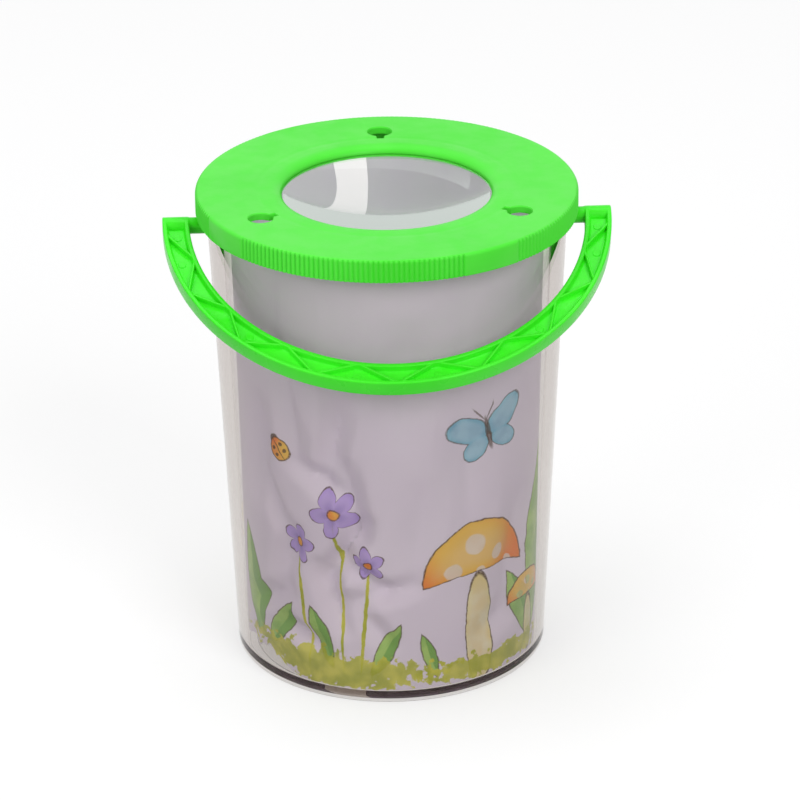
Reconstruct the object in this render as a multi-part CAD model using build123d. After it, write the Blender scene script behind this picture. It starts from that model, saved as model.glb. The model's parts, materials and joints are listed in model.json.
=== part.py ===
from build123d import *
from math import acos, asin, atan2, cos, degrees, hypot, pi, radians, sin
import os

# All lengths are millimetres, all angles degrees.
# The origin is the middle of the jar's underside, +Z is up, -Y is the front,
# and the handle turns about an axis along X.

# Jar: one clear moulding, a straight taper from base to mouth
jar_height = 118.6
jar_base_d = 76.2
jar_mouth_d = 87.2
jar_wall = 1.6
jar_floor = 2.6
jar_foot_round = 1.0
jar_rim_round = 0.5

# Lid: a push-on cap with a ribbed skirt outside the mouth and a plug wall inside it
lid_plate = 1.8
lid_height = 5.6
lid_skirt_wall = 2.1
lid_edge_round = 0.8
lid_fit = 0.3
plug_wall = 1.2
plug_short = 0.4
window_round = 1.5

# Grip ribs: sectors of fine V grooves with a plain pad between each two
grip_sectors = 4
grip_pitch = 1.5
grip_grooves = 48
grip_groove_width = 0.95
grip_depth = 0.55
grip_pad_middle = 30

# Air vents: three keyholes through the plate, their necks towards the lens
vent_count = 3
vent_first = 90
vent_d = 6.0
vent_land = 1.9
vent_neck = 1.8
vent_neck_land = 2.2

# Lens: a clear disc under the plate, held by a ring pressed into a collar
vent_band = 11.5
collar_wall = 1.4
lens_fit = 0.15
lens_lap = 2.1
lens_rim = 1.6
lens_shoulder = 0.3
lens_top_rise = 1.0
lens_crown = 0.3
lens_edge_drop = 1.5
lens_edge_power = 5
lens_edge_shares = (1.0, 0.95, 0.88, 0.78, 0.62, 0.36, 0.0)
ring_height = 1.4
ring_fit = 0.05

# Handle: a half hoop of I section with zigzag ribs, its end bars run on as pins
pin_d = 4.0
pin_fit = 0.15
pin_drop = 1.3
pin_head_undercut = 0.45
pin_head_length = 1.4
pin_head_gap = 0.4
pin_head_taper = 0.8
handle_swing_gap = 0.75
handle_rest_gap = 0.2
handle_band = 6.4
handle_thick = 4.3
handle_flange = 1.1
handle_web = 1.2
truss_step = 21.4
truss_inner_nodes = 8
truss_rib = 0.9
truss_set_back = 0.2
mark_d = 2.0
mark_height = 0.15
mark_bays = (0.5, 2.0, 3.5)

# Paper insert: one printed sheet rolled up inside the jar, its two edges a gap apart
paper_thick = 0.25
paper_foot_gap = 0.35
paper_top_gap = 2.2
paper_headroom = 6.2
paper_slot = 6.5
paper_slot_middle = 98

# Largest share of a wall that its edge round may take, and the tolerance for finding an edge
rim_round_share = 0.4
plate_round_share = 0.9
edge_match = 0.0001

# Heights and radii that follow from the sizes above
base_r = jar_base_d / 2
mouth_r = jar_mouth_d / 2
taper = (mouth_r - base_r) / jar_height
lid_top = jar_height + lid_plate
skirt_foot = lid_top - lid_height
plug_foot = skirt_foot + plug_short
skirt_in_r = mouth_r + lid_fit
lid_r = skirt_in_r + lid_skirt_wall
pivot_z = skirt_foot - pin_drop - pin_d / 2


def jar_outer_r(z):
    return base_r + taper * z


def jar_inner_r(z):
    return jar_outer_r(z) - jar_wall


plug_out_r = jar_inner_r(plug_foot) - lid_fit
plug_in_r = plug_out_r - plug_wall
collar_out_r = plug_in_r - vent_band
collar_in_r = collar_out_r - collar_wall
lens_r = collar_in_r - lens_fit
window_r = lens_r - lens_lap
lens_dome_r = window_r - lens_shoulder
lens_foot = jar_height - lens_rim
ring_foot = lens_foot - ring_height
vent_circle_r = plug_in_r - vent_land - vent_d / 2
vent_neck_end = collar_out_r + vent_neck_land

handle_in_r = hypot(lid_r, lid_top - pivot_z) + handle_swing_gap
handle_out_r = handle_in_r + handle_band
pin_head_d = pin_d + 2 * pin_head_undercut


def rest_droop():
    # Angle below level at which the hoop's lower inner edge meets the jar's tapered front
    half = handle_thick / 2
    along = handle_in_r + taper * half
    across = taper * handle_in_r - half
    reach = jar_outer_r(pivot_z) + handle_rest_gap
    return degrees(atan2(across, along) + acos(reach / hypot(along, across)))


def polar(radius, angle):
    return radius * cos(radians(angle)), radius * sin(radians(angle))


def turned(points):
    # Solid of revolution about Z from a closed outline of (radius, height) points
    outline = Plane.XZ * make_face(Polyline(*points, close=True))
    return revolve(outline, Axis.Z)


def circles_at(solid, radius, height):
    # Circular edges of one radius and height, for rounding
    found = solid.edges().filter_by(GeomType.CIRCLE)
    return [e for e in found if hypot(e.radius - radius, e.center().Z - height) < edge_match]


def make_jar():
    jar = turned([
        (0, 0),
        (base_r, 0),
        (mouth_r, jar_height),
        (mouth_r - jar_wall, jar_height),
        (jar_inner_r(jar_floor), jar_floor),
        (0, jar_floor),
    ])
    jar = fillet(circles_at(jar, base_r, 0), jar_foot_round)
    rims = circles_at(jar, mouth_r, jar_height) + circles_at(jar, mouth_r - jar_wall, jar_height)
    jar = fillet(rims, min(jar_rim_round, rim_round_share * jar_wall))
    pin_hole = Cylinder(pin_d / 2 + pin_fit, 2 * lid_r, rotation=(0, 90, 0))
    return jar - Pos(0, 0, pivot_z) * pin_hole


def grip_cuts():
    # One V groove for each pitch of each ribbed sector, grip_groove_width wide at the skirt's face
    sector = 360 / grip_sectors
    start = grip_pad_middle + (sector - grip_pitch * (grip_grooves - 1)) / 2
    outside_r = lid_r + grip_depth
    section = make_face(Polyline(
        (lid_r - grip_depth, 0),
        (outside_r, -grip_groove_width),
        (outside_r, grip_groove_width),
        close=True,
    ))
    groove = Pos(0, 0, lid_top) * extrude(section, lid_height, both=True)
    cuts = []
    for n in range(grip_sectors):
        for k in range(grip_grooves):
            cuts.append(Rot(0, 0, start + n * sector + k * grip_pitch) * groove)
    return cuts


def vent_cuts():
    # Eye and neck of each keyhole, twice as deep as the plate to both sides of its top
    through = 4 * lid_plate
    neck_length = vent_circle_r - vent_neck_end
    neck_middle = (vent_circle_r + vent_neck_end) / 2
    cuts = []
    for n in range(vent_count):
        turn = Rot(0, 0, vent_first + n * 360 / vent_count)
        neck = Pos(neck_middle, 0, lid_top) * Box(neck_length, vent_neck, through)
        eye = Pos(vent_circle_r, 0, lid_top) * Cylinder(vent_d / 2, through)
        cuts += [turn * neck, turn * eye]
    return cuts


def make_lid():
    lid = turned([
        (window_r, jar_height),
        (window_r, lid_top),
        (lid_r, lid_top),
        (lid_r, skirt_foot),
        (skirt_in_r, skirt_foot),
        (skirt_in_r, jar_height),
        (plug_out_r, jar_height),
        (plug_out_r, plug_foot),
        (plug_in_r, plug_foot),
        (plug_in_r, jar_height),
        (collar_out_r, jar_height),
        (collar_out_r, ring_foot),
        (collar_in_r, ring_foot),
        (collar_in_r, jar_height),
    ])
    lid = fillet(circles_at(lid, window_r, lid_top), min(window_round, plate_round_share * lid_plate))
    lid = fillet(circles_at(lid, lid_r, lid_top), lid_edge_round)
    return lid - vent_cuts() - grip_cuts()


def dome_arc(edge_z, rise):
    # Quarter profile of a shallow dome, from its edge to its crown on the axis
    ball_r = (lens_dome_r ** 2 + rise ** 2) / (2 * rise)
    half_way = asin(lens_dome_r / ball_r) / 2
    drop = ball_r * (1 - cos(half_way))
    middle = (ball_r * sin(half_way), edge_z + rise - drop)
    return ThreePointArc((lens_dome_r, edge_z), middle, (0, edge_z + rise))


def bulge_line():
    # Quarter profile of the underside, from its edge to the axis: a flat crown with a steep edge
    points = []
    for share in lens_edge_shares:
        drop = lens_crown * (1 - share ** 2) + lens_edge_drop * (1 - share ** lens_edge_power)
        points.append((share * lens_dome_r, lens_foot - drop))
    edge_slope = 2 * lens_crown + lens_edge_power * lens_edge_drop
    return Spline(*points, tangents=[(-lens_dome_r, -edge_slope), (-1, 0)])


def make_lens():
    # Rim under the plate, a low rise above and a deeper bulge below
    upper = dome_arc(jar_height, lens_top_rise)
    lower = bulge_line()
    edge = Polyline(lower @ 0, (lens_r, lens_foot), (lens_r, jar_height), upper @ 0)
    axis_line = Line(upper @ 1, lower @ 1)
    outline = Plane.XZ * make_face([upper, axis_line, lower, edge])
    return revolve(outline, Axis.Z)


def make_retaining_ring():
    ring_out_r = collar_in_r - ring_fit
    return turned([
        (window_r, ring_foot),
        (ring_out_r, ring_foot),
        (ring_out_r, lens_foot),
        (window_r, lens_foot),
    ])


def half_band(inner, outer):
    # Half of a flat ring, on the +Y side of the pivot line
    upper_half = Pos(0, outer) * Rectangle(2 * outer, 2 * outer)
    return (Circle(outer) - Circle(inner)) & upper_half


def truss_ribs():
    # Zigzag between the two flanges, from one outer node through every inner node to the last
    nodes = []
    first = 90 - truss_step * truss_inner_nodes / 2
    for k in range(2 * truss_inner_nodes + 1):
        radius = handle_in_r + handle_flange / 2 if k % 2 else handle_out_r - handle_flange / 2
        nodes.append(polar(radius, first + k * truss_step / 2))
    ribs = []
    for (x0, y0), (x1, y1) in zip(nodes, nodes[1:]):
        place = Pos((x0 + x1) / 2, (y0 + y1) / 2) * Rot(0, 0, degrees(atan2(y1 - y0, x1 - x0)))
        ribs.append(place * Rectangle(hypot(x1 - x0, y1 - y0), truss_rib))
    return ribs


def ejector_marks():
    # Low round marks in some of the pockets, the same on both halves of the hoop
    marks = []
    middle_r = (handle_in_r + handle_out_r) / 2
    toward = (handle_band / 2 - handle_flange - mark_d / 2) / 2
    for bay in mark_bays:
        lean = -toward if float(bay).is_integer() else toward
        for side in (-1, 1):
            x, y = polar(middle_r + lean, 90 + side * bay * truss_step)
            disc = Cylinder(mark_d / 2, mark_height, align=(Align.CENTER, Align.CENTER, Align.MAX))
            marks.append(Pos(x, y, -handle_web / 2) * disc)
    return marks


def handle_pin(side):
    # End bar across the hoop, the pin through the jar's wall and its snap head inside
    head_out = jar_inner_r(pivot_z) - pin_head_gap
    head_in = head_out - pin_head_length
    bar_middle = (handle_in_r + handle_out_r) / 2
    bar = Pos(bar_middle, 0, 0) * Cylinder(handle_thick / 2, handle_band, rotation=(0, 90, 0))
    pin_length = handle_in_r + handle_flange - head_in
    pin = Pos(head_in + pin_length / 2, 0, 0) * Cylinder(pin_d / 2, pin_length, rotation=(0, 90, 0))
    cone = Cone(pin_head_d / 2 - pin_head_taper, pin_head_d / 2, pin_head_length, rotation=(0, 90, 0))
    head = Pos((head_in + head_out) / 2, 0, 0) * cone
    whole = bar + pin + head
    return whole if side > 0 else Rot(0, 0, 180) * whole


def make_handle():
    web = extrude(half_band(handle_in_r, handle_out_r), handle_web / 2, both=True)
    inner = half_band(handle_in_r, handle_in_r + handle_flange)
    outer = half_band(handle_out_r - handle_flange, handle_out_r)
    flanges = [extrude(band, handle_thick / 2, both=True) for band in (inner, outer)]
    rib_height = handle_thick / 2 - truss_set_back
    ribs = [extrude(rib, rib_height, both=True) for rib in truss_ribs()]
    hoop = web + flanges + ribs + ejector_marks() + [handle_pin(1), handle_pin(-1)]
    return Pos(0, 0, pivot_z) * Rot(180 + rest_droop(), 0, 0) * hoop


def make_paper():
    # A slightly conical roll standing on the jar's floor
    top = jar_height - paper_headroom
    foot_r = jar_inner_r(jar_floor) - paper_foot_gap
    top_r = jar_inner_r(top) - paper_top_gap
    outline = Plane.XZ * make_face(Polyline(
        (foot_r - paper_thick, jar_floor),
        (foot_r, jar_floor),
        (top_r, top),
        (top_r - paper_thick, top),
        close=True,
    ))
    slot_angle = 360 * paper_slot / (2 * pi * top_r)
    roll = revolve(outline, Axis.Z, 360 - slot_angle)
    return Rot(0, 0, paper_slot_middle + slot_angle / 2) * roll


os.makedirs("parts", exist_ok=True)
pieces = {
    "jar": make_jar(),
    "lid": make_lid(),
    "lens": make_lens(),
    "lens_retaining_ring": make_retaining_ring(),
    "handle": make_handle(),
    "paper_insert": make_paper(),
}
for name, piece in pieces.items():
    export_step(piece, f"parts/{name}.step")
print(f"lid diameter {2 * lid_r:.2f}, height {lid_top:.2f}, pivot height {pivot_z:.2f}")
print(f"handle droop {rest_droop():.2f}, inner radius {handle_in_r:.2f}, outer {handle_out_r:.2f}")
print(f"window radius {window_r:.2f}, vent circle {vent_circle_r:.2f}, neck end {vent_neck_end:.2f}")
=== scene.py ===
import json
import math
from types import SimpleNamespace
import bmesh
import bpy
from mathutils import Matrix, Vector, noise


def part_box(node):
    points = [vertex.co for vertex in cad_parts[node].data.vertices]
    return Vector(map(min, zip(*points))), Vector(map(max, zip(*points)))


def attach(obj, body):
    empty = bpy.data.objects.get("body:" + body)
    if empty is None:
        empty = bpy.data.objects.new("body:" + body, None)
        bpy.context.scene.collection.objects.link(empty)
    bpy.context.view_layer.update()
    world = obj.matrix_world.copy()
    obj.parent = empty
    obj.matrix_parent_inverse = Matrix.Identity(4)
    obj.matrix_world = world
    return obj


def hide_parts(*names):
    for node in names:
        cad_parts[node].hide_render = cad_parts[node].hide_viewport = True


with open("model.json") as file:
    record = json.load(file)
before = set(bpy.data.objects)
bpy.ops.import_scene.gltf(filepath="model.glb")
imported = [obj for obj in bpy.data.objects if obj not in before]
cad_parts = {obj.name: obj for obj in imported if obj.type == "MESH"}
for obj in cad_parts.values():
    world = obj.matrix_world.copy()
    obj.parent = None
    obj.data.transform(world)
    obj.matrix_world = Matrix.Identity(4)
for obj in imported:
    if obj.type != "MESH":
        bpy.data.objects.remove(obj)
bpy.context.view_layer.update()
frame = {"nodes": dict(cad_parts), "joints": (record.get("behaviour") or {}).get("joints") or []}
print("frame loaded:", ", ".join(sorted(frame["nodes"])))

mm = 0.001
weld = 0.0005 * mm  # points closer than this are made one

# where the frame puts things
jarLow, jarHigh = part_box("jar")
lidLow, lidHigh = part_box("lid")
lensLow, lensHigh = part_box("lens")
ringLow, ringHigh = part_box("lens_retaining_ring")
handleLow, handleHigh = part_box("handle")
paperLow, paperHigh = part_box("paper_insert")
pivotZ = [j for j in frame["joints"] if j["name"] == "handle_swing"][0]["pos_m"][2]


# tools for modelling
def deselectAll():
    if bpy.context.mode != "OBJECT":
        bpy.ops.object.mode_set(mode="OBJECT")
    bpy.ops.object.select_all(action="DESELECT")


def pick(*pieces):
    deselectAll()
    for piece in pieces:
        piece.select_set(True)
    bpy.context.view_layer.objects.active = pieces[0]


def editPiece(piece):
    pick(piece)
    bpy.ops.object.mode_set(mode="EDIT")
    bpy.ops.mesh.select_mode(type="VERT")


def selectVerts(piece, wanted):  # in edit mode, by place
    bpy.ops.mesh.select_all(action="DESELECT")
    mesh = bmesh.from_edit_mesh(piece.data)
    for vert in mesh.verts:
        vert.select = wanted(vert.co)
    mesh.select_flush(True)
    bmesh.update_edit_mesh(piece.data)


def tidyMesh(piece, smoothAngle):
    editPiece(piece)
    bpy.ops.mesh.select_all(action="SELECT")
    bpy.ops.mesh.remove_doubles(threshold=weld)
    bpy.ops.mesh.normals_make_consistent(inside=False)
    bpy.ops.object.mode_set(mode="OBJECT")
    bpy.ops.object.shade_smooth_by_angle(angle=math.radians(smoothAngle))


def settle(piece):  # puts the place of a piece into its mesh
    pick(piece)
    bpy.ops.object.transform_apply(location=True, rotation=True, scale=True)


def joinPieces(pieces):
    pick(*pieces)
    bpy.ops.object.join()
    return pieces[0]


def combine(piece, other, operation):
    pick(piece)
    bpy.ops.object.modifier_add(type="BOOLEAN")
    cut = piece.modifiers[-1]
    cut.operation = operation
    cut.solver = "MANIFOLD"
    cut.object = other
    bpy.ops.object.modifier_apply(modifier=cut.name)
    bpy.data.objects.remove(other)


def turnRings(name, rings, steps, closed=False, capped=False):
    # a circle is drawn out ring by ring, as (radius, height)
    deselectAll()
    nowR, nowZ = rings[0]
    fill = "TRIFAN" if capped else "NOTHING"
    bpy.ops.mesh.primitive_circle_add(vertices=steps, radius=nowR, fill_type=fill, location=(0, 0, nowZ))
    piece = bpy.context.object
    piece.name = name
    piece.data.name = name
    settle(piece)
    editPiece(piece)
    bpy.ops.mesh.select_all(action="SELECT")
    if capped:
        bpy.ops.mesh.region_to_loop()
    for r, z in rings[1:] + rings[:1] * closed:
        bpy.ops.mesh.extrude_edges_move(TRANSFORM_OT_translate={"value": (0, 0, z - nowZ)})
        bpy.ops.transform.resize(value=(r / nowR, r / nowR, 1), center_override=(0, 0, z))
        nowR, nowZ = r, z
    if capped:
        bpy.ops.mesh.extrude_edges_move()
        bpy.ops.mesh.merge(type="CENTER")
    bpy.ops.object.mode_set(mode="OBJECT")
    return piece


def roundOutline(corners, parts=4):
    # corners are (radius, height, rounding), walked once round a section
    rings = []
    for k, (x, z, rounding) in enumerate(corners):
        corner = Vector((x, z))
        if not rounding:
            rings.append((x, z))
            continue
        back = (Vector(corners[k - 1][:2]) - corner).normalized()
        on = (Vector(corners[(k + 1) % len(corners)][:2]) - corner).normalized()
        half = back.angle(on) / 2
        centre = corner + (back + on).normalized() * rounding / math.sin(half)
        first = corner + back * rounding / math.tan(half) - centre
        last = corner + on * rounding / math.tan(half) - centre
        turn = math.atan2(first.x * last.y - first.y * last.x, first.dot(last))
        for n in range(parts + 1):
            spoke = Matrix.Rotation(turn * n / parts, 2) @ first
            rings.append((centre.x + spoke.x, centre.y + spoke.y))
    return rings


def polar(radius, degrees):
    turn = math.radians(degrees)
    return radius * math.cos(turn), radius * math.sin(turn)


# tools for materials
def startMaterial(name):
    mat = bpy.data.materials.new(name)
    mat.use_nodes = True
    mat.node_tree.nodes.clear()
    return mat, mat.node_tree, mat.node_tree.nodes.new("ShaderNodeOutputMaterial")


def addNode(tree, kind, sockets=None, **settings):
    node = tree.nodes.new("ShaderNode" + kind)
    for key, value in settings.items():
        setattr(node, key, value)
    for key, value in (sockets or {}).items():
        if isinstance(value, bpy.types.NodeSocket):
            tree.links.new(value, node.inputs[key])
        else:
            node.inputs[key].default_value = value
    return node


def mixColours(tree, factor, first, second):
    colours = [c if isinstance(c, bpy.types.NodeSocket) else (*c, 1) for c in (first, second)]
    sockets = {0: factor, 6: colours[0], 7: colours[1]}
    return addNode(tree, "Mix", sockets, data_type="RGBA").outputs[2]


def spread(tree, value, low, high, toLow, toHigh):  # a soft step from one value to another
    sockets = {"Value": value, "From Min": low, "From Max": high, "To Min": toLow, "To Max": toHigh}
    return addNode(tree, "MapRange", sockets, interpolation_type="SMOOTHSTEP", clamp=False).outputs["Result"]


def noiseOn(tree, where, scale, detail=2.0, out="Fac"):
    return addNode(tree, "TexNoise", {"Vector": where, "Scale": scale, "Detail": detail}).outputs[out]


# green moulded plastic
greenLid = dict(light=(0.092, 0.80, 0.052), deep=(0.074, 0.76, 0.038), rough=(0.34, 0.46), shine=0.32,
                grain=0.05)
greenHandle = dict(light=(0.060, 0.88, 0.024), deep=(0.044, 0.81, 0.015), rough=(0.24, 0.36), shine=0.34,
                   grain=0.03)
greenNoise = dict(flow=(38, 3.0), grain=(2600, 2.0), handling=(210, 4.0))  # scale and detail
grainHigh = 0.1 * mm


def mouldedGreen(name, look):
    mat, tree, out = startMaterial(name)
    where = addNode(tree, "TexCoord").outputs["Object"]
    flow = noiseOn(tree, where, *greenNoise["flow"])  # slow cloudiness of the melt
    grain = noiseOn(tree, where, *greenNoise["grain"])  # fine texture of the mould
    handling = noiseOn(tree, where, *greenNoise["handling"])  # dull and shiny patches
    colour = mixColours(tree, spread(tree, flow, 0.35, 0.65, 0, 1), look["light"], look["deep"])
    rough = spread(tree, handling, 0.3, 0.7, *look["rough"])
    bump = addNode(tree, "Bump", {"Height": grain, "Strength": look["grain"], "Distance": grainHigh})
    sockets = {"Base Color": colour, "Roughness": rough, "Normal": bump.outputs[0], "IOR": 1.5,
               "Specular Tint": (*[look["shine"]] * 3, 1)}
    shader = addNode(tree, "BsdfPrincipled", sockets)
    tree.links.new(shader.outputs[0], out.inputs["Surface"])
    return mat


# clear moulded plastic: the light that the camera sees is bent, the rest goes straight through
# the jar's warm absorption tint is partly the plastic's own tint and partly a painted reflection of brown
# surroundings, browning the long paths through its edges
clearJar = dict(light=(0.985, 0.985, 0.985), deep=(0.965, 0.967, 0.967), rough=(0.0, 0.03), ior=1.2,
                shine=0.6, tint=(0.66, 0.60, 0.56), density=190.0, through=(0.98, 0.98, 0.98),
                mirrored=(0.85, 0.84, 0.83), haze=(60, 4.0))
clearLens = dict(light=(0.99, 0.99, 0.99), deep=(0.98, 0.985, 0.985), rough=(0.0, 0.012), ior=1.52,
                 shine=0.8, tint=(0.55, 0.56, 0.56), density=12.0, through=(0.97, 0.97, 0.97),
                 mirrored=(0.60, 0.66, 0.62), haze=(60, 4.0))
# rays that reflected inside the clear plastic go straight on in a painted shade colour, a little grey in the
# jar and darker and greenish in the lens
straightRays = {"Is Reflection Ray": "mirrored", "Is Diffuse Ray": "through", "Is Shadow Ray": "through"}


def clearPlastic(name, look):
    mat, tree, out = startMaterial(name)
    where = addNode(tree, "TexCoord").outputs["Object"]
    haze = noiseOn(tree, where, *look["haze"])
    colour = mixColours(tree, spread(tree, haze, 0.35, 0.65, 0, 1), look["light"], look["deep"])
    rough = spread(tree, haze, 0.45, 0.75, *look["rough"])
    sockets = {"Base Color": colour, "Roughness": rough, "IOR": look["ior"], "Transmission Weight": 1.0,
               "Specular Tint": (*[look["shine"]] * 3, 1)}
    shown = addNode(tree, "BsdfPrincipled", sockets).outputs[0]
    ray = addNode(tree, "LightPath").outputs
    for kind, part in straightRays.items():
        straight = addNode(tree, "BsdfTransparent", {"Color": (*look[part], 1)}).outputs[0]
        shown = addNode(tree, "MixShader", {0: ray[kind], 1: shown, 2: straight}).outputs[0]
    body = addNode(tree, "VolumeAbsorption", {"Color": (*look["tint"], 1), "Density": look["density"]})
    tree.links.new(shown, out.inputs["Surface"])
    tree.links.new(body.outputs[0], out.inputs["Volume"])
    return mat


lidGreen = mouldedGreen("lidGreen", greenLid)
handleGreen = mouldedGreen("handleGreen", greenHandle)
jarClear = clearPlastic("jarClear", clearJar)
lensClear = clearPlastic("lensClear", clearLens)
print("plastics ready")


def seatPiece(piece, body, node, slot, *materials):
    if materials:
        piece.data.materials.clear()
    for mat in materials:
        piece.data.materials.append(mat)
    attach(piece, body)
    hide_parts(node)
    print("placed", piece.name, len(piece.data.polygons), "faces")


# jar: a straight taper with a thick floor, a ring groove under it and two holes for the handle's pins
jarLook = dict(steps=256, baseR=38.1 * mm, mouthR=43.6 * mm, wall=1.6 * mm, floor=2.6 * mm, middle=4 * mm,
               footRound=1.4 * mm, rimRound=0.5 * mm, floorRound=0.9 * mm, roundParts=5, lidGap=0.04 * mm,
               grooveIn=33.6 * mm, grooveOut=35.9 * mm, grooveDeep=0.45 * mm, grooveSlope=0.3 * mm,
               grooveRound=0.1 * mm, holeR=2.15 * mm, holeSteps=48, drillLong=2.2, smooth=30)


def jarOuterR(z):
    share = z / (jarHigh.z - jarLow.z)
    return jarLook["baseR"] + (jarLook["mouthR"] - jarLook["baseR"]) * share


def makeJar():
    look = jarLook
    rimZ = jarHigh.z - look["lidGap"]
    outline = roundOutline([
        (look["middle"], 0, 0),
        (look["grooveIn"], 0, look["grooveRound"]),  # shallow groove that sets off the standing ring
        (look["grooveIn"] + look["grooveSlope"], look["grooveDeep"], look["grooveRound"]),
        (look["grooveOut"] - look["grooveSlope"], look["grooveDeep"], look["grooveRound"]),
        (look["grooveOut"], 0, look["grooveRound"]),
        (look["baseR"], 0, look["footRound"]),
        (look["mouthR"], rimZ, look["rimRound"]),
        (look["mouthR"] - look["wall"], rimZ, look["rimRound"]),
        (jarOuterR(look["floor"]) - look["wall"], look["floor"], look["floorRound"]),
        (look["middle"], look["floor"], 0),
    ], look["roundParts"])
    jar = turnRings("jar_shell", outline, look["steps"], capped=True)
    deselectAll()
    bpy.ops.mesh.primitive_cylinder_add(vertices=look["holeSteps"], radius=look["holeR"],
                                        depth=look["drillLong"] * look["mouthR"],
                                        location=(0, 0, pivotZ), rotation=(0, math.radians(90), 0))
    drill = bpy.context.object
    settle(drill)
    tidyMesh(jar, look["smooth"])
    combine(jar, drill, "DIFFERENCE")
    tidyMesh(jar, look["smooth"])
    seatPiece(jar, "jar", "jar", "clear_jar", jarClear)


makeJar()

# lid: plate, ribbed skirt, plug wall and lens collar in one turned section
lidLook = dict(plate=1.8 * mm, skirtWall=2.1 * mm, plugShort=0.4 * mm, plugWall=1.2 * mm, ventBand=11.5 * mm,
               collarWall=1.4 * mm, ringFit=0.05 * mm, lensLap=2.1 * mm, lip=2.85 * mm, lipParts=9,
               sinkR=31.0 * mm, sinkWide=1.4 * mm, sinkDeep=0.07 * mm, sinkParts=6, edgeRound=0.8 * mm,
               smallRound=0.25 * mm, roundParts=3, hold=0.3 * mm, smooth=50)
gripLook = dict(pitch=1.5, perPitch=4, grooves=48, sectors=4, padMiddle=30, deep=0.55 * mm, flank=0.36,
                near=0.001 * mm)
ventLook = dict(count=3, first=90, eyeR=3.0 * mm, circleR=35.44 * mm, neckEnd=31.04 * mm, neckWide=1.8 * mm,
                chamfer=0.2 * mm, chamferDeep=0.29 * mm, steps=48, smooth=30)


def lidOutline():
    look = lidLook
    top, under = lidHigh.z, lidHigh.z - look["plate"]
    windowR = lensHigh.x - look["lensLap"]
    collarIn = ringHigh.x + look["ringFit"]
    collarOut = collarIn + look["collarWall"]
    plugIn = collarOut + look["ventBand"]
    plugOut = plugIn + look["plugWall"]
    plugFoot = lidLow.z + look["plugShort"]
    skirtIn = lidHigh.x - look["skirtWall"]
    small = look["smallRound"]
    lipMiddle = windowR + look["lip"]
    lip = []
    for n in range(look["lipParts"] + 1):  # the window's edge rolls over in a long quarter ellipse
        turn = math.radians(90 * n / look["lipParts"])
        lip.append((lipMiddle - look["lip"] * math.cos(turn), under + look["plate"] * math.sin(turn), 0))
    sink = []
    for n in range(look["sinkParts"] + 1):  # shallow ring that the plate sank to over the collar
        share = 2 * n / look["sinkParts"] - 1
        deep = look["sinkDeep"] * (1 + math.cos(math.pi * share)) / 2
        sink.append((look["sinkR"] + look["sinkWide"] * share, top - deep, 0))
    return lip + [(lipMiddle + look["hold"], top, 0)] + sink + [
        (lidHigh.x - look["edgeRound"] - look["hold"], top, 0),
        (lidHigh.x, top, look["edgeRound"]),
        (lidHigh.x, lidLow.z, small),
        (skirtIn, lidLow.z, small),
        (skirtIn, under, small),
        (plugOut, under, small),
        (plugOut, plugFoot, small),
        (plugIn, plugFoot, small),
        (plugIn, under, small),
        (collarOut, under, small),
        (collarOut, ringLow.z, small),
        (collarIn, ringLow.z, small),
        (collarIn, under, 0),
    ]


def cutGrips(lid, rings):
    # each groove is drawn in ring by ring, down to a straight V
    look = gripLook
    sector = 360 / look["sectors"]
    firstGroove = (sector - look["pitch"] * (look["grooves"] - 1)) / 2
    editPiece(lid)
    mesh = bmesh.from_edit_mesh(lid.data)
    groups = {}
    for vert in mesh.verts:
        if math.hypot(vert.co.x, vert.co.y) < lidHigh.x - look["deep"]:
            continue
        turn = (math.degrees(math.atan2(vert.co.y, vert.co.x)) - look["padMiddle"]) % sector
        groove = (turn - firstGroove) / look["pitch"]
        step = round((groove - round(groove)) * look["perPitch"])
        inside = -0.3 < groove < look["grooves"] - 0.7  # a little past the first and the last groove
        if abs(step) < 2 and inside:
            groups.setdefault(abs(step), []).append(vert)
    for step, share in ((0, 1.0), (1, look["flank"])):
        target = lidHigh.x - look["deep"] * share
        for r, z in rings:
            if r <= target:
                continue
            bpy.ops.mesh.select_all(action="DESELECT")
            for vert in groups[step]:
                offZ, offR = abs(vert.co.z - z), abs(vert.co.xy.length - r)
                vert.select = offZ < look["near"] and offR < look["near"]
            mesh.select_flush(True)
            bpy.ops.transform.resize(value=(target / r, target / r, 1), center_override=(0, 0, z))
    bpy.ops.object.mode_set(mode="OBJECT")


def ventCutter():
    look = ventLook
    top, low = lidHigh.z, lidHigh.z - 2 * lidLook["plate"]
    above = look["chamferDeep"]
    cutters = []
    for n in range(look["count"]):
        eye = turnRings("ventEye", [
            (look["eyeR"] / 3, low),
            (look["eyeR"], low),
            (look["eyeR"], top - look["chamferDeep"]),
            (look["eyeR"] + 2 * look["chamfer"], top + above),
            (look["eyeR"] / 3, top + above),
        ], look["steps"], capped=True)
        eye.location.x = look["circleR"]
        settle(eye)
        length = look["circleR"] - look["neckEnd"]
        high = top - look["chamferDeep"] - low
        deselectAll()
        bpy.ops.mesh.primitive_cube_add(size=1, location=(look["neckEnd"] + length / 2, 0, low + high / 2),
                                        scale=(length, look["neckWide"], high))
        neck = bpy.context.object
        settle(neck)
        editPiece(neck)
        selectVerts(neck, lambda co: co.z > low + high / 2)
        rise = (0, 0, above + look["chamferDeep"])
        bpy.ops.mesh.extrude_region_move(TRANSFORM_OT_translate={"value": rise})
        wider = 4 * look["chamfer"]
        bpy.ops.transform.resize(value=(1 + wider / length, 1 + wider / look["neckWide"], 1),
                                 center_override=(look["neckEnd"] + length / 2, 0, top))
        tidyMesh(eye, look["smooth"])
        tidyMesh(neck, look["smooth"])
        combine(eye, neck, "UNION")
        eye.rotation_euler.z = math.radians(look["first"] + n * 360 / look["count"])
        settle(eye)
        cutters.append(eye)
    return joinPieces(cutters)


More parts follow.
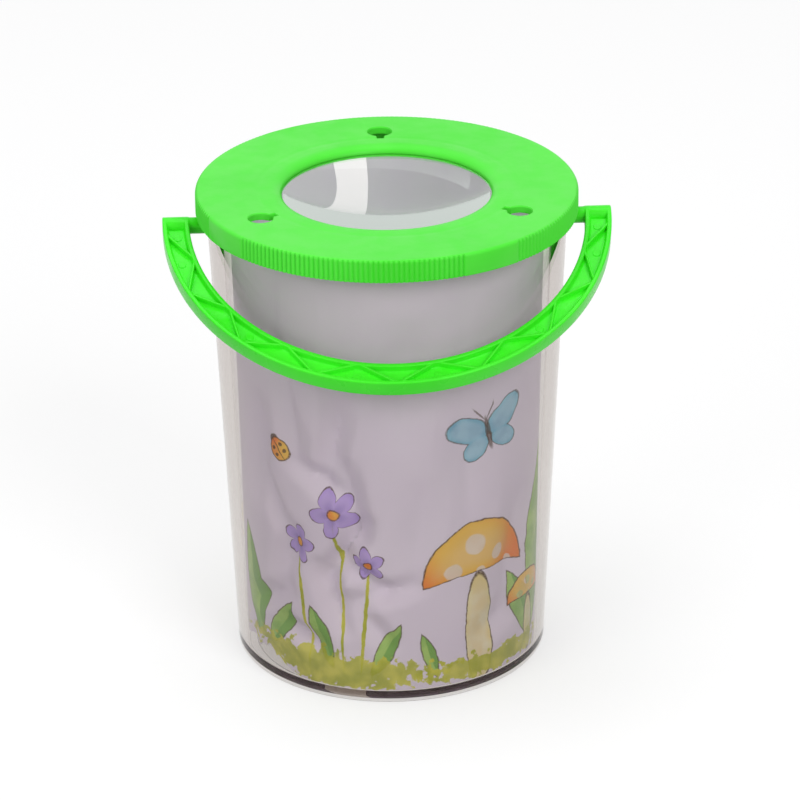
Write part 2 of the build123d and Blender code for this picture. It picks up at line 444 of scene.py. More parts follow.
def makeLid():
    rings = roundOutline(lidOutline(), lidLook["roundParts"])
    steps = round(360 / gripLook["pitch"] * gripLook["perPitch"])
    lid = turnRings("lid_cap", rings, steps, closed=True)
    tidyMesh(lid, lidLook["smooth"])
    cutGrips(lid, rings)
    combine(lid, ventCutter(), "DIFFERENCE")
    tidyMesh(lid, lidLook["smooth"])
    seatPiece(lid, "lid", "lid", "green_lid", lidGreen)


makeLid()

# lens and the ring that holds it
lensLook = dict(steps=192, parts=40, lap=2.1 * mm, shoulder=0.3 * mm, rim=1.6 * mm, gap=0.03 * mm,
                middle=0.02, bunch=1.5, crown=0.3 * mm, power=5, smooth=20)
holdRing = dict(steps=192, lap=2.1 * mm, edge=0.25 * mm, roundParts=3, gap=0.02 * mm, smooth=40)


def makeLens():
    look = lensLook
    seat = lidHigh.z - lidLook["plate"]
    domeR = lensHigh.x - look["lap"] - look["shoulder"]
    top, low = seat - look["gap"], seat - look["rim"] + look["gap"]
    edgeDrop = low - lensLow.z - look["crown"]
    upper, lower = [], []
    for n in range(look["parts"]):  # from the middle out, closer together towards the edge
        share = 1 - (1 - look["middle"]) * (1 - n / (look["parts"] - 1)) ** look["bunch"]
        upper.append((domeR * share, top + (lensHigh.z - top) * (1 - share ** 2)))
        drop = look["crown"] * (1 - share ** 2) + edgeDrop * (1 - share ** look["power"])
        lower.append((domeR * share, low - drop))
    rings = upper + [(lensHigh.x, top), (lensHigh.x, low)] + lower[::-1]
    lens = turnRings("lens_clear", rings, look["steps"], capped=True)
    tidyMesh(lens, look["smooth"])
    seatPiece(lens, "lid", "lens", "clear_lens", lensClear)


def makeHoldRing():
    look = holdRing
    inR = lensHigh.x - look["lap"]
    high = ringHigh.z - look["gap"]
    outline = roundOutline([
        (inR, ringLow.z, look["edge"]),
        (ringHigh.x, ringLow.z, look["edge"]),
        (ringHigh.x, high, look["edge"]),
        (inR, high, look["edge"]),
    ], look["roundParts"])
    ring = turnRings("lens_ring", outline, look["steps"], closed=True)
    tidyMesh(ring, look["smooth"])
    seatPiece(ring, "lid", "lens_retaining_ring", "green_lid", lidGreen)


makeLens()
makeHoldRing()

# handle: a half hoop of I section with zigzag ribs and marks, and a bar with a pin at each end
handleLook = dict(steps=300, band=6.4 * mm, thick=4.3 * mm, flange=1.1 * mm, web=1.2 * mm, draft=0.15 * mm,
                  edge=0.32 * mm, fillet=0.4 * mm, hoopParts=4, hoopSmooth=40, smooth=38)
pinLook = dict(pinR=2.0 * mm, headR=2.45 * mm, tipR=1.65 * mm, headLong=1.4 * mm, headGap=0.4 * mm,
               headRound=0.12 * mm, tipRound=0.3 * mm, barEdge=0.3 * mm, roundParts=3, steps=48, smooth=35)
ribLook = dict(step=21.4, bays=8, wide=0.95 * mm, top=0.6 * mm, low=0.2 * mm, edge=0.16 * mm, edgeParts=2,
               smooth=35)
markLook = dict(radius=1.0 * mm, high=0.16 * mm, sideShare=0.5, topShare=0.9, steps=24, smooth=35)
handleMarks = ((10.7, 0.55), (42.8, -0.5), (74.9, 0.5), (84.6, -0.2))  # degrees from the middle, lean in mm


def handleDroop():  # how far the hoop hangs below level, from its lowest corner
    half = handleLook["thick"] / 2
    drop = pivotZ - handleLow.z
    return math.asin(drop / math.hypot(handleHigh.x, half)) - math.atan2(half, handleHigh.x)


def handleHoop():
    look = handleLook
    outR = handleHigh.x
    inR = outR - look["band"]
    half, web = look["thick"] / 2, look["web"] / 2
    edge, fillet, draft = look["edge"], look["fillet"], look["draft"]
    nearIn, nearOut = inR + look["flange"], outR - look["flange"]
    outline = roundOutline([
        (inR, -half, edge), (nearIn, -half, edge), (nearIn + draft, -web, fillet),
        (nearOut - draft, -web, fillet), (nearOut, -half, edge), (outR, -half, edge),
        (outR, half, edge), (nearOut, half, edge), (nearOut - draft, web, fillet),
        (nearIn + draft, web, fillet), (nearIn, half, edge), (inR, half, edge),
    ], look["hoopParts"])
    hoop = turnRings("handle_hoop", outline, look["steps"], closed=True)
    tidyMesh(hoop, look["hoopSmooth"])
    editPiece(hoop)
    bpy.ops.mesh.select_all(action="SELECT")
    bpy.ops.mesh.bisect(plane_co=(0, 0, 0), plane_no=(0, 1, 0), use_fill=True, clear_outer=True)
    bpy.ops.object.mode_set(mode="OBJECT")
    return hoop


def handlePin(side):
    look = pinLook
    outR = handleHigh.x
    inR = outR - handleLook["band"]
    wallIn = jarOuterR(pivotZ) - jarLook["wall"]
    headOut = wallIn - look["headGap"]
    half = handleLook["thick"] / 2
    outline = roundOutline([
        (look["tipR"] / 3, headOut - look["headLong"], 0),
        (look["tipR"], headOut - look["headLong"], look["tipRound"]),
        (look["headR"], headOut, look["headRound"]),
        (look["pinR"], headOut, 0),
        (look["pinR"], inR - look["barEdge"], 0),
        (half, inR + look["barEdge"], 0),
        (half, outR, look["barEdge"]),
        (half / 3, outR, 0),
    ], look["roundParts"])
    pin = turnRings("handlePin", outline, look["steps"], capped=True)
    pin.rotation_euler.y = math.radians(90 * side)
    settle(pin)
    tidyMesh(pin, look["smooth"])
    return pin


def handleRibs():
    look = ribLook
    outR = handleHigh.x - handleLook["flange"] / 2
    inR = handleHigh.x - handleLook["band"] + handleLook["flange"] / 2
    high = handleLook["thick"] / 2 - look["low"]
    narrow = look["top"] / look["wide"]
    first = -90 - look["step"] * look["bays"] / 2
    ribs = []
    for n in range(2 * look["bays"]):
        near = Vector(polar(inR if n % 2 else outR, first + n * look["step"] / 2))
        far = Vector(polar(outR if n % 2 else inR, first + (n + 1) * look["step"] / 2))
        along = far - near
        deselectAll()
        bpy.ops.mesh.primitive_cube_add(size=1, scale=(along.length, look["wide"], 2 * high))
        rib = bpy.context.object
        settle(rib)
        editPiece(rib)
        for side in (-1, 1):  # sides lean in towards the top, and the top edges are soft
            selectVerts(rib, lambda co: co.z * side > 0)
            bpy.ops.transform.resize(value=(1, narrow, 1), center_override=(0, 0, side * high))
            bpy.ops.mesh.bevel(offset=look["edge"], segments=look["edgeParts"], affect="EDGES")
        bpy.ops.object.mode_set(mode="OBJECT")
        rib.rotation_euler.z = math.atan2(along.y, along.x)
        rib.location.xy = (near + far) / 2
        settle(rib)
        tidyMesh(rib, look["smooth"])
        ribs.append(rib)
    return ribs


def handleMarkDiscs():
    look = markLook
    middle = handleHigh.x - handleLook["band"] / 2
    web = handleLook["web"] / 2
    marks = []
    for turn, lean in handleMarks:
        for side in (-1, 1):
            disc = turnRings("mark", [
                (look["radius"] / 3, web - look["high"]),
                (look["radius"], web - look["high"]),
                (look["radius"], web + look["sideShare"] * look["high"]),
                (look["topShare"] * look["radius"], web + look["high"]),
                (look["radius"] / 3, web + look["high"]),
            ], look["steps"], capped=True)
            disc.location.xy = polar(middle + lean * mm, -90 + side * turn)
            settle(disc)
            tidyMesh(disc, look["smooth"])
            marks.append(disc)
    return marks


def makeHandle():
    hoop = handleHoop()
    combine(hoop, joinPieces(handleRibs()), "UNION")
    combine(hoop, joinPieces([handlePin(-1), handlePin(1)] + handleMarkDiscs()), "UNION")
    hoop.rotation_euler.x = handleDroop()
    hoop.location.z = pivotZ
    settle(hoop)
    tidyMesh(hoop, handleLook["smooth"])
    seatPiece(hoop, "handle", "handle", "green_handle", handleGreen)


makeHandle()

# paper insert: one sheet rolled up in the jar, its print facing out
paperLook = dict(across=221, up=112, footGap=0.35 * mm, topGap=2.2 * mm, thick=0.25 * mm, slotWide=6.5 * mm,
                 slotMiddle=98, stand=0.05 * mm, ripple=0.30 * mm, rippleScale=(0.045, 0.028), rippleSeed=2.3,
                 foldDeep=3.0, foldWide=2.6, swell=0.3, smooth=40)
paperFolds = (  # across from the front middle, up, turn, half length, depth, width: millimetres and degrees
    (-23.5, 92, 88, 30, -0.9, 2.6),
    (-27, 74, 97, 20, 0.8, 2.2),
    (-16, 64, 78, 15, 1.3, 1.9),
    (-20, 55, 150, 10, 1.0, 1.5),
    (-11, 50, 100, 13, 1.2, 1.8),
    (-13, 37, 60, 13, 1.5, 1.7),
    (-9, 31, 145, 10, 1.1, 1.4),
    (-4, 26, 15, 12, 0.9, 1.6),
    (-17, 24, 110, 12, 1.2, 1.8),
    (-6, 17, 128, 9, 0.8, 1.5),
    (-30, 33, 70, 11, 1.0, 2.0),
    (-36, 20, 30, 10, 0.9, 1.7),
    (-26, 12, 160, 9, 1.0, 1.6),
    (-40, 58, 85, 17, 1.0, 2.4),
    (-34, 46, 120, 9, 0.8, 1.6),
    (5, 42, 84, 16, 0.5, 3.0),
    (18, 58, 95, 24, 0.6, 3.6),
    (33, 30, 80, 20, 0.7, 3.2),
    (27, 14, 20, 10, 0.5, 2.2),
    (26, 88, 92, 18, -0.5, 3.6),
    (2, 82, 86, 18, 0.55, 3.0),
    (74, 45, 70, 20, 0.8, 3.0),
    (-80, 60, 100, 24, 0.9, 3.2),
    (96, 30, 130, 12, 0.8, 2.4),
    (-98, 28, 60, 14, 0.8, 2.6),
)
paperLift = dict(start=-24, peak=-40, end=-76, high=4.6, fade=22, jag=1.2, jagScale=0.55, jagSeed=(0.3, 7.1),
                 jagLifted=1.6, jagFlat=0.35, flatFrom=4, flatFull=-30)  # the lower edge on the left, mm


def paperSize():
    look = paperLook
    footR = jarOuterR(paperLow.z) - jarLook["wall"] - look["footGap"]
    topR = jarOuterR(paperHigh.z) - jarLook["wall"] - look["topGap"]
    turn = 2 * math.pi - look["slotWide"] / topR
    return footR, topR, turn


def smoothStep(low, high, value):
    share = min(max((value - low) / (high - low), 0), 1)
    return share * share * (3 - 2 * share)


def paperDent(across, up):  # inward, in millimetres
    dent = 0
    look = paperLook
    for x, y, turn, half, depth, width in paperFolds:
        ways = polar(1, turn)
        along = (across - x) * ways[0] + (up - y) * ways[1]
        off = (up - y) * ways[0] - (across - x) * ways[1]
        flat = max(0, 1 - abs(off) / (look["foldWide"] * width))
        dent += look["foldDeep"] * depth * max(0, 1 - (along / half) ** 2) * flat
    return max(dent, -look["swell"])


def paperRaise(across, up):  # millimetres that the lower edge stands up by
    look = paperLift
    rise = smoothStep(look["start"], look["peak"], across)
    rise *= 1 - smoothStep(look["peak"], look["end"], across)
    ragged = look["jag"] * noise.noise(Vector((across * look["jagScale"], *look["jagSeed"])))
    lifted = rise * (look["high"] + ragged * look["jagLifted"])
    flat = look["jagFlat"] * ragged * smoothStep(look["flatFrom"], look["flatFull"], across)
    return max(0, 1 - up / look["fade"]) ** 2 * max(0, lifted + flat)


def makePaper():
    look = paperLook
    footR, topR, span = paperSize()
    high = paperHigh.z - paperLow.z - look["stand"]
    deselectAll()
    bpy.ops.mesh.primitive_grid_add(x_subdivisions=look["across"], y_subdivisions=look["up"], size=1)
    sheet = bpy.context.object
    sheet.name = "paper_sheet"
    sheet.data.name = "paper_sheet"
    middleTurn = math.radians(look["slotMiddle"] + 180)
    frontShift = (middleTurn - math.radians(270)) * (footR + topR) / 2 / mm
    scaleX, scaleY = look["rippleScale"]
    for vert in sheet.data.vertices:
        share = vert.co.y + 0.5
        coneR = footR + (topR - footR) * share
        across = vert.co.x * span * (footR + topR) / 2 / mm + frontShift
        up = share * high / mm
        ripple = look["ripple"] * noise.noise(Vector((across * scaleX, up * scaleY, look["rippleSeed"])))
        r = coneR - look["ripple"] + ripple - paperDent(across, up) * mm
        turn = middleTurn + vert.co.x * span
        z = paperLow.z + look["stand"] + (up + paperRaise(across, up)) * mm
        vert.co = (r * math.cos(turn), r * math.sin(turn), min(z, paperHigh.z))
    sheet.data.materials.append(printedPaper(frontShift))
    sheet.data.materials.append(plainPaper())
    pick(sheet)
    bpy.ops.object.modifier_add(type="SOLIDIFY")
    wall = sheet.modifiers[-1]
    wall.thickness = look["thick"]
    wall.offset = -1
    wall.use_quality_normals = True
    wall.material_offset = 1
    wall.material_offset_rim = 1
    bpy.ops.object.modifier_apply(modifier=wall.name)
    bpy.ops.object.shade_smooth_by_angle(angle=math.radians(look["smooth"]))
    seatPiece(sheet, "jar", "paper_insert", "printed_paper")


# the print: loose watercolour plants and insects, in millimetres from the front middle and the foot
printLook = dict(paper=(0.92, 0.85, 0.96), paperDeep=(0.88, 0.81, 0.915), back=(0.90, 0.90, 0.90),
                 ink=(0.13, 0.075, 0.04), wobble=1.0, through=0.22, ior=1.45, fibreHigh=0.03 * mm,
                 rough=(0.62, 0.78), backRough=(0.65, 0.8))
printNoise = dict(shake=(0.35, 3.0), wash=(0.16, 3.0), speck=(1.6, 3.0), fibre=(5.0, 4.0), ragged=(0.42, 6.0))
backNoise = dict(fibre=(1800, 4.0), cloud=(60, 3.0))
ballEdge = 0.5  # every drawn shape is a soft ball with this value on its edge, and more inside it
leafTones = ((0.50, 0.74, 0.20), (0.20, 0.46, 0.08))
oliveTones = ((0.78, 0.76, 0.13), (0.50, 0.54, 0.06))
orangeTones = ((1.0, 0.66, 0.14), (0.98, 0.30, 0.07))
creamTones = ((0.98, 0.91, 0.60), (0.92, 0.77, 0.38))
lilacTones = ((0.62, 0.46, 0.90), (0.40, 0.26, 0.72))
blueTones = ((0.42, 0.74, 0.88), (0.26, 0.55, 0.72))


def sheetShader(tree, out, colour, rough, normal):  # some light comes through the sheet
    sockets = {"Base Color": colour, "Roughness": rough, "Normal": normal, "IOR": printLook["ior"]}
    front = addNode(tree, "BsdfPrincipled", sockets)
    through = addNode(tree, "BsdfTranslucent", {"Color": colour})
    both = addNode(tree, "MixShader", {0: printLook["through"], 1: front.outputs[0], 2: through.outputs[0]})
    tree.links.new(both.outputs[0], out.inputs["Surface"])


def startPrint(tree, frontShift):
    footR, topR, span = paperSize()
    wide, high = span * (footR + topR) / 2 / mm, (paperHigh.z - paperLow.z) / mm
    uv = addNode(tree, "TexCoord").outputs["UV"]
    sockets = {"Vector": uv, "Location": (frontShift - wide / 2, 0, 0), "Scale": (wide, high, 1)}
    flat = addNode(tree, "Mapping", sockets).outputs[0]
    shake = noiseOn(tree, flat, *printNoise["shake"], "Color")
    centred = addNode(tree, "VectorMath", {0: shake, 1: (0.5, 0.5, 0.5)}, operation="SUBTRACT").outputs[0]
    wobble = (printLook["wobble"], printLook["wobble"], 0)
    shaken = addNode(tree, "VectorMath", {0: centred, 1: wobble, 2: flat}, operation="MULTIPLY_ADD")
    wash = spread(tree, noiseOn(tree, flat, *printNoise["wash"]), 0.34, 0.66, 0, 1)
    speck = noiseOn(tree, flat, *printNoise["speck"])
    fibre = noiseOn(tree, flat, *printNoise["fibre"])
    ragged = noiseOn(tree, flat, *printNoise["ragged"])
    pressure = spread(tree, speck, 0.3, 0.6, 0.6, 1)  # the pen presses unevenly
    return SimpleNamespace(tree=tree, where=shaken.outputs[0], wash=wash, fibre=fibre, ragged=ragged,
                           pressure=pressure)


def maths(pen, way, *values):
    return addNode(pen.tree, "Math", dict(enumerate(values)), operation=way).outputs[0]


def local(pen, middle, size, lean=0):
    sockets = {"Vector": pen.where, "Location": (*middle, 0), "Rotation": (0, 0, math.radians(lean)),
               "Scale": (2 * size[0], 2 * size[1], 1)}
    return addNode(pen.tree, "Mapping", sockets, vector_type="TEXTURE").outputs[0]


def ball(pen, spot, kind="SPHERICAL"):
    return addNode(pen.tree, "TexGradient", {0: spot}, gradient_type=kind).outputs["Fac"]


def blob(pen, middle, size, lean=0):
    return ball(pen, local(pen, middle, size, lean))


def filled(pen, shape, soft, strength=1.0):
    return spread(pen.tree, shape, ballEdge - soft / 2, ballEdge + soft / 2, 0, strength)


def pooled(pen, shape, soft):  # the wash gathers along its edge
    return maths(pen, "MULTIPLY", filled(pen, shape, soft), spread(pen.tree, shape, ballEdge, 0.72, 1, 0.8))


def lined(pen, shape, size, strength=0.92):  # a pen line along the edge, the same width on every size
    off = maths(pen, "ABSOLUTE", maths(pen, "SUBTRACT", shape, ballEdge))
    return maths(pen, "MULTIPLY", spread(pen.tree, off, 0.04 / size, 0.13 / size, strength, 0), pen.pressure)


def washed(pen, under, mask, tones, share=None):
    return mixColours(pen.tree, mask, under, mixColours(pen.tree, share or pen.wash, *tones))


def drawn(pen, under, mask):
    return mixColours(pen.tree, mask, under, printLook["ink"])


def sized(pair, size):
    return pair[0] * size, pair[1] * size


def beside(middle, offset, size, lean):  # a spot of a motif that leans as a whole
    spot = Matrix.Rotation(math.radians(lean), 2) @ Vector(sized(offset, size))
    return middle[0] + spot.x, middle[1] + spot.y


printStems = (  # middle across and up, half length, lean
    (-15, 25, 20, 3), (-25, 20, 15.5, 6), (-8.5, 18.5, 14, -4), (74, 25, 20, 3), (-91, 28, 22, -2),
)
stemHalf = 0.5


def drawStems(pen, colour):
    for x, y, half, lean in printStems:
        stem = blob(pen, (x, y), (stemHalf, half), lean)
        colour = washed(pen, colour, filled(pen, stem, 0.15), oliveTones)
    return colour


printLeaves = (  # middle across and up, half length, half width, lean
    (46, 30, 25, 6.2, -7), (38, 14, 12, 3.4, 24), (-44, 20, 16, 4.2, 12), (-33, 12, 9, 2.6, -26),
    (-20, 13, 8.5, 2.4, 22), (-3, 11, 8, 2.2, -28), (8, 9, 6.5, 1.8, 18), (92, 30, 24, 6.0, 12),
    (80, 20, 14, 3.8, -18), (-86, 26, 20, 5.0, -10), (-97, 17, 12, 3.4, 20),
)
leafLook = dict(shadeBow=3, shadeSoft=0.06, shade=0.85, wash=0.6, soft=0.12, cover=0.96, line=0.8)


def drawLeaves(pen, colour):
    look = leafLook
    for x, y, half, width, lean in printLeaves:  # two bows cross in a pointed leaf
        middle = Vector((x, y))
        bow = (half ** 2 + width ** 2) / (2 * width)
        aside = Vector(polar(bow - width, lean))
        left = blob(pen, middle - aside, (bow, bow))
        leaf = maths(pen, "MINIMUM", left, blob(pen, middle + aside, (bow, bow)))
        shadeR = look["shadeBow"] * bow  # one side of the midrib is darker
        shade = blob(pen, middle + Vector(polar(shadeR, lean)), (shadeR, shadeR))
        darkSide = filled(pen, shade, look["shadeSoft"] / bow, look["shade"])
        share = maths(pen, "MAXIMUM", maths(pen, "MULTIPLY", pen.wash, look["wash"]), darkSide)
        colour = washed(pen, colour, filled(pen, leaf, look["soft"] / bow, look["cover"]), leafTones, share)
        colour = drawn(pen, colour, lined(pen, leaf, bow, look["line"]))
    return colour


printFlowers = (  # middle across and up, size, turn
    (-16, 47, 6.2, 10), (-26.5, 37, 5.2, 42), (-7.5, 34, 4.6, 68), (74, 48, 6.0, 20), (-92, 52, 5.5, 50),
)
flowerLook = dict(petals=5, notch=0.5, deeper=(0.12, 0.42), soft=0.04, line=0.85, heart=(0.24, 0.22),
                  heartSoft=0.15, heartR=0.23, heartLine=0.8)


def drawFlowers(pen, colour):
    look = flowerLook
    notch = look["notch"]
    for x, y, size, turn in printFlowers:
        here = local(pen, (x, y), (size, size), turn)
        swing = maths(pen, "MULTIPLY", ball(pen, here, "RADIAL"), look["petals"] * math.pi)
        petal = maths(pen, "ABSOLUTE", maths(pen, "COSINE", swing))
        reach = maths(pen, "SUBTRACT", 1.0, ball(pen, here))
        away = maths(pen, "DIVIDE", reach, maths(pen, "MULTIPLY_ADD", petal, notch, 1 - notch))
        flower = maths(pen, "SUBTRACT", 1.0, away)
        deeper = spread(pen.tree, away, *look["deeper"], 1, 0)
        colour = washed(pen, colour, pooled(pen, flower, look["soft"]), lilacTones, deeper)
        colour = drawn(pen, colour, lined(pen, flower, size, look["line"]))
        heart = blob(pen, (x, y), sized(look["heart"], size))
        colour = washed(pen, colour, filled(pen, heart, look["heartSoft"]), orangeTones)
        colour = drawn(pen, colour, lined(pen, heart, look["heartR"] * size, look["heartLine"]))
    return colour


printMushrooms = ((22, 6, 0.92), (41, 5, 0.45), (-70, 6, 0.62))  # across, foot, size
mushroomLook = dict(dome=(17, 16), domeUp=24, under=(25, 9.5), underUp=16, stalk=(4.6, 17), stalkUp=8,
                    stalkLean=2, stalkSoft=0.04, capSoft=0.01, capLine=14, undercoat=0.4, glow=(19, 13),
                    glowAt=(-3, 33), glowRange=(0.45, 0.8), spotFlat=0.86, spotSoft=0.12, spotBare=0.8)
mushroomSpots = ((-8.5, 27, 2.7), (-1.5, 33.5, 3.2), (6.5, 29, 2.4), (12, 24.5, 1.5), (0, 25.5, 1.5))


def mushroomBare(pen, x, y, size):  # the pale spots that the colour leaves out
    look = mushroomLook
    bare = None
    for dx, dy, r in mushroomSpots:
        spot = blob(pen, (x + dx * size, y + dy * size), (r * size, look["spotFlat"] * r * size))
        dot = filled(pen, spot, look["spotSoft"], look["spotBare"])
        bare = dot if bare is None else maths(pen, "MAXIMUM", bare, dot)
    return bare


def drawMushrooms(pen, colour):
    look = mushroomLook
    soft = look["capSoft"]
    for x, y, size in printMushrooms:
        dome = blob(pen, (x, y + look["domeUp"] * size), sized(look["dome"], size))
        under = blob(pen, (x, y + look["underUp"] * size), sized(look["under"], size))
        cap = maths(pen, "MINIMUM", dome, maths(pen, "SUBTRACT", 1.0, under))
        behind = maths(pen, "SUBTRACT", 1.0, filled(pen, cap, soft))
        stalk = blob(pen, (x, y + look["stalkUp"] * size), sized(look["stalk"], size), look["stalkLean"])
        stalkWash = maths(pen, "MULTIPLY", pooled(pen, stalk, look["stalkSoft"]), behind)
        colour = washed(pen, colour, stalkWash, creamTones)
        stalkLine = lined(pen, stalk, look["stalk"][0] * size)
        colour = drawn(pen, colour, maths(pen, "MULTIPLY", stalkLine, behind))
        bare = mushroomBare(pen, x, y, size)
        glowX, glowY = sized(look["glowAt"], size)  # yellow crown, orange rim
        glow = blob(pen, (x + glowX, y + glowY), sized(look["glow"], size))
        coat = maths(pen, "MULTIPLY", pooled(pen, cap, soft), maths(pen, "SUBTRACT", 1.0, bare))
        colour = washed(pen, colour, filled(pen, cap, soft, look["undercoat"]), creamTones)
        rim = spread(pen.tree, glow, *look["glowRange"], 1, 0)
        colour = washed(pen, colour, coat, orangeTones, rim)
        colour = drawn(pen, colour, lined(pen, cap, look["capLine"] * size))
    return colour


printButterflies = ((24, 66, 1.0, 14), (100, 68, 0.8, -15))  # across, up, size, lean
butterflyLook = dict(wingSoft=0.05, wingR=3.4, wingLine=0.7, body=(0.7, 4.6), bodySoft=0.2, bodyInk=0.75,
                     tipAt=(1.5, 6.0), feeler=(0.24, 2.5), feelerTurn=28, feelerSoft=0.4, feelerInk=0.7)
butterflyWings = (  # middle across and up, half length, half width, turn
    (5.4, 2.8, 6.0, 3.5, 28), (-5.4, 2.8, 6.0, 3.5, -28),
    (3.9, -3.0, 4.0, 2.7, -38), (-3.9, -3.0, 4.0, 2.7, 38),
)


def drawButterflies(pen, colour):
    look = butterflyLook
    for x, y, size, lean in printButterflies:
        wings = None
        for dx, dy, long, wide, turn in butterflyWings:
            spot = beside((x, y), (dx, dy), size, lean)
            wing = blob(pen, spot, (long * size, wide * size), turn + lean)
            wings = wing if wings is None else maths(pen, "MAXIMUM", wings, wing)
        colour = washed(pen, colour, pooled(pen, wings, look["wingSoft"]), blueTones)
        colour = drawn(pen, colour, lined(pen, wings, look["wingR"] * size, look["wingLine"]))
        body = blob(pen, (x, y), sized(look["body"], size), lean)
        colour = drawn(pen, colour, filled(pen, body, look["bodySoft"], look["bodyInk"]))
        for side in (-1, 1):
            spot = beside((x, y), (side * look["tipAt"][0], look["tipAt"][1]), size, lean)
            feeler = blob(pen, spot, sized(look["feeler"], size), lean - side * look["feelerTurn"])
            colour = drawn(pen, colour, filled(pen, feeler, look["feelerSoft"], look["feelerInk"]))
    return colour


printBeetles = ((-31, 61, 1.0, 35), (-58, 58, 0.9, -20))  # across, up, size, lean
beetleLook = dict(head=(1.5, 1.2), headAt=(0, 3.0), headSoft=0.15, headInk=0.9, shell=(2.6, 3.1),
                  shellSoft=0.06, seam=(0.16, 3.0), seamSoft=0.4, seamInk=0.8, dot=(0.5, 0.5), dotSoft=0.2,
                  dotInk=0.85)
beetleDots = ((-1.2, 1.1), (1.2, 1.1), (-1.3, -0.9), (1.3, -0.9))


def drawBeetles(pen, colour):
    look = beetleLook
    for x, y, size, lean in printBeetles:
        head = blob(pen, beside((x, y), look["headAt"], size, lean), sized(look["head"], size), lean)
        colour = drawn(pen, colour, filled(pen, head, look["headSoft"], look["headInk"]))
        shell = blob(pen, (x, y), sized(look["shell"], size), lean)
        colour = washed(pen, colour, filled(pen, shell, look["shellSoft"]), orangeTones)
        colour = drawn(pen, colour, lined(pen, shell, look["shell"][0] * size))
        seam = blob(pen, (x, y), sized(look["seam"], size), lean)
        colour = drawn(pen, colour, filled(pen, seam, look["seamSoft"], look["seamInk"]))
        for offset in beetleDots:
            dot = blob(pen, beside((x, y), offset, size, lean), sized(look["dot"], size))
            colour = drawn(pen, colour, filled(pen, dot, look["dotSoft"], look["dotInk"]))
    return colour


printGround = (  # middle across and up, half length, half height
    (-18, 4.5, 28, 4.4), (27, 3.6, 22, 3.0), (84, 5, 26, 4.5), (-84, 4.5, 24, 4.0),
)
groundLook = dict(torn=1.3, soft=0.06, cover=0.93)


def drawGround(pen, colour):  # ragged meadow strokes over the plants' feet
    look = groundLook
    for x, y, half, deep in printGround:
        stroke = blob(pen, (x, y), (half, deep))
        frayed = maths(pen, "MULTIPLY_ADD", pen.ragged, look["torn"], -look["torn"] / 2)
        torn = maths(pen, "ADD", stroke, frayed)
        colour = washed(pen, colour, filled(pen, torn, look["soft"], look["cover"]), oliveTones)
    return colour


def printedPaper(frontShift):
    mat, tree, out = startMaterial("printedPaper")
    pen = startPrint(tree, frontShift)
    cloudy = spread(tree, pen.fibre, 0.3, 0.7, 0, 1)
    colour = mixColours(tree, cloudy, printLook["paper"], printLook["paperDeep"])
    for draw in (drawStems, drawLeaves, drawFlowers, drawMushrooms, drawButterflies, drawBeetles, drawGround):
        colour = draw(pen, colour)
    rough = spread(tree, pen.fibre, 0.3, 0.7, *printLook["rough"])
    bump = addNode(tree, "Bump", {"Height": pen.fibre, "Strength": 0.25, "Distance": printLook["fibreHigh"]})
    sheetShader(tree, out, colour, rough, bump.outputs[0])
    print("print drawn with", len(tree.nodes), "nodes")
    return mat


def plainPaper():
    mat, tree, out = startMaterial("plainPaper")
    where = addNode(tree, "TexCoord").outputs["Object"]
    fibre = noiseOn(tree, where, *backNoise["fibre"])
    cloud = noiseOn(tree, where, *backNoise["cloud"])
    cloudy = spread(tree, cloud, 0.3, 0.7, 0, 1)
    colour = mixColours(tree, cloudy, printLook["back"], printLook["paperDeep"])
    bump = addNode(tree, "Bump", {"Height": fibre, "Strength": 0.2, "Distance": printLook["fibreHigh"]})
    rough = spread(tree, fibre, 0.3, 0.7, *printLook["backRough"])
    sheetShader(tree, out, colour, rough, bump.outputs[0])
    return mat


makePaper()

# stage, lamps and camera
stageLook = dict(size=9.0, low=0.15 * mm, colour=(0.46, 0.46, 0.46), glow=0.57)
lampLook = dict(
    overhead=dict(at=(-0.15, 0.10, 1.35), aim=(0, 0, 0.08), size=(1.1, 1.1), watts=8.5),
    frontRight=dict(at=(0.72, -1.25, 0.98), aim=(0, 0, 0.06), size=(0.8, 0.9), watts=12.0),
    frontLeft=dict(at=(-1.10, -1.05, 0.70), aim=(0, 0, 0.06), size=(0.9, 0.9), watts=7.0),
)
worldLook = dict(light=(0.35, 0.35, 0.355), shown=(0.98, 0.98, 0.98))
cameraLook = dict(target=(2.7 * mm, -0.1 * mm, 63.7 * mm), distance=1.1574, elevation=24.93, azimuth=-2.75,
                  roll=-0.55, lens=212.7, sensor=36, near=0.01)


def seenRays(tree):  # what the camera meets, straight, in gloss or through clear plastic
    ray = addNode(tree, "LightPath").outputs
    seen = addNode(tree, "Math", {0: ray["Is Camera Ray"], 1: ray["Is Glossy Ray"]}, operation="MAXIMUM")
    seen = addNode(tree, "Math", {0: seen.outputs[0], 1: ray["Is Transmission Ray"]}, operation="MAXIMUM")
    return seen.outputs[0]


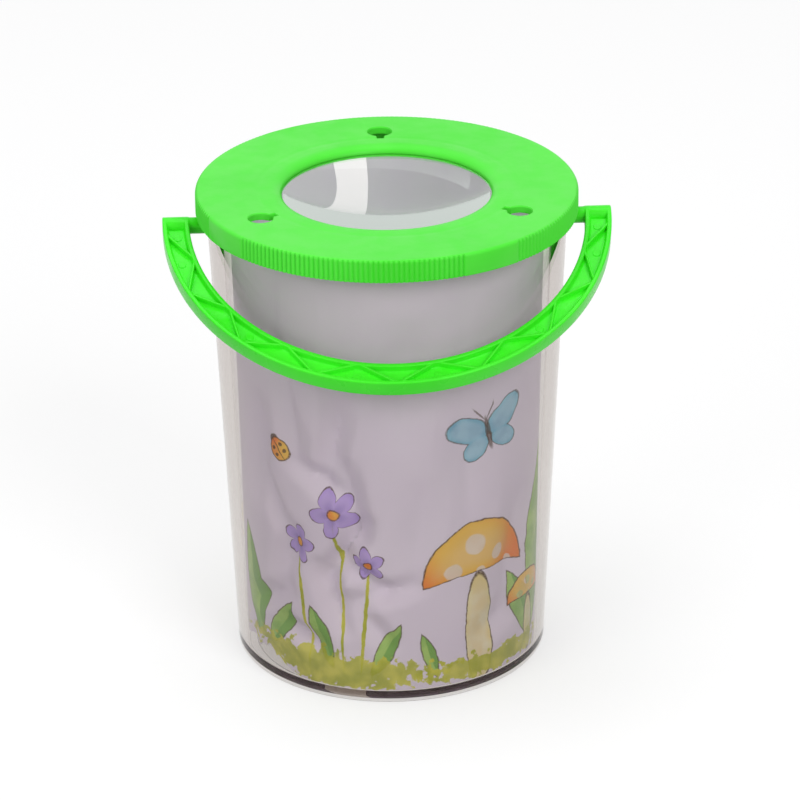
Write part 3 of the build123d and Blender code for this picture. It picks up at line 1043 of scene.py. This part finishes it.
def makeStage():
    deselectAll()
    bpy.ops.mesh.primitive_plane_add(size=stageLook["size"], location=(0, 0, -stageLook["low"]))
    floor = bpy.context.object
    floor.name = "stage_floor"
    mat, tree, out = startMaterial("paleFloor")
    matt = addNode(tree, "BsdfDiffuse", {"Color": (*stageLook["colour"], 1)})
    glow = addNode(tree, "Math", {0: seenRays(tree), 1: stageLook["glow"]}, operation="MULTIPLY")
    pale = addNode(tree, "Emission", {"Strength": glow.outputs[0]})
    both = addNode(tree, "AddShader", {0: matt.outputs[0], 1: pale.outputs[0]})
    tree.links.new(both.outputs[0], out.inputs["Surface"])
    mat.cycles.emission_sampling = "NONE"
    floor.data.materials.append(mat)


def makeLamps():
    for name, look in lampLook.items():
        deselectAll()
        bpy.ops.object.light_add(type="AREA", location=look["at"])
        lamp = bpy.context.object
        lamp.name = name
        lamp.data.shape = "RECTANGLE"
        lamp.data.size, lamp.data.size_y = look["size"]
        lamp.data.energy = look["watts"]
        aim = Vector(look["aim"]) - Vector(look["at"])
        lamp.rotation_euler = aim.to_track_quat("-Z", "Y").to_euler()
    world = bpy.data.worlds.new("studio")
    bpy.context.scene.world = world
    world.use_nodes = True
    tree = world.node_tree
    tree.nodes.clear()
    colour = mixColours(tree, seenRays(tree), worldLook["light"], worldLook["shown"])
    back = addNode(tree, "Background", {"Color": colour})
    out = tree.nodes.new("ShaderNodeOutputWorld")
    tree.links.new(back.outputs[0], out.inputs["Surface"])


def makeCamera():
    look = cameraLook
    up, turn, roll = (math.radians(look[k]) for k in ("elevation", "azimuth", "roll"))
    away = Vector((math.cos(up) * math.sin(turn), -math.cos(up) * math.cos(turn), math.sin(up)))
    spot = Vector(look["target"]) + look["distance"] * away
    deselectAll()
    bpy.ops.object.camera_add()
    camera = bpy.context.object
    camera.data.lens = look["lens"]
    camera.data.sensor_width = look["sensor"]
    camera.data.clip_start = look["near"]
    facing = Matrix.Rotation(turn, 4, "Z") @ Matrix.Rotation(math.radians(90) - up, 4, "X")
    camera.matrix_world = Matrix.Translation(spot) @ facing @ Matrix.Rotation(roll, 4, "Z")
    bpy.context.scene.camera = camera


makeStage()
makeLamps()
makeCamera()
bpy.context.scene.view_settings.view_transform = "Standard"
print("stage, lamps and camera ready")
